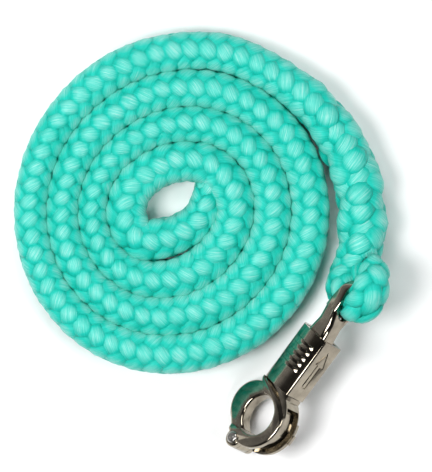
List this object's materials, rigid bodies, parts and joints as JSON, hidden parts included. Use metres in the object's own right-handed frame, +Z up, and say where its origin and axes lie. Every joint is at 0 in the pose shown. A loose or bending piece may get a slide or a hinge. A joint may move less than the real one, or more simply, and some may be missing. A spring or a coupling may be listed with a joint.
{
  "type": "lead rope",
  "caption": "Soft braided lead rope lying in a flat coil, with a quick-release panic snap spliced to one end.",
  "frame": {"origin": "centre of the snap's bounding box, on the floor", "axes": "+Y from the snap's hook end towards its rope eye, +Z up, the rope's coil lies to -X"},
  "size_m": [0.2405, 0.2202, 0.045],
  "materials": {
    "snap_casting": "polished dark nickel plating",
    "snap_steel": "bright steel",
    "spring_steel": "drawn wire",
    "rope_braid": "soft satin braid"
  },
  "bodies": {
    "frame": {"hook_body": "snap_casting", "rope_eye": "snap_casting", "centre_stem": "snap_steel", "jaw_rivet": "snap_steel", "sleeve_spring": "spring_steel", "rope_coil": "rope_braid", "rope_lead": "rope_braid", "rope_splice": "rope_braid", "rope_eye_loop": "rope_braid"},
    "sleeve": {"release_sleeve": "snap_casting"},
    "jaw": {"jaw": "snap_casting"}
  },
  "joints": [
    {"name": "sleeve_slide", "type": "slide", "parent": "frame", "child": "sleeve", "axis": [0, 0.9903, 0.1392], "range_m": [0, 0.009], "stiffness_N_per_m": 600, "springref_m": -0.005, "deforming": ["sleeve_spring"]},
    {"name": "jaw_pivot", "type": "hinge", "parent": "frame", "child": "jaw", "pos_m": [-0.00263, -0.05717, 0.01514], "axis": [-0.6561, -0.105, 0.7474], "range_deg": [0, 50]}
  ],
  "couplings": [
    {"joint": "jaw_pivot", "follows": "sleeve_slide", "rad_per_m": 96.962}
  ]
}
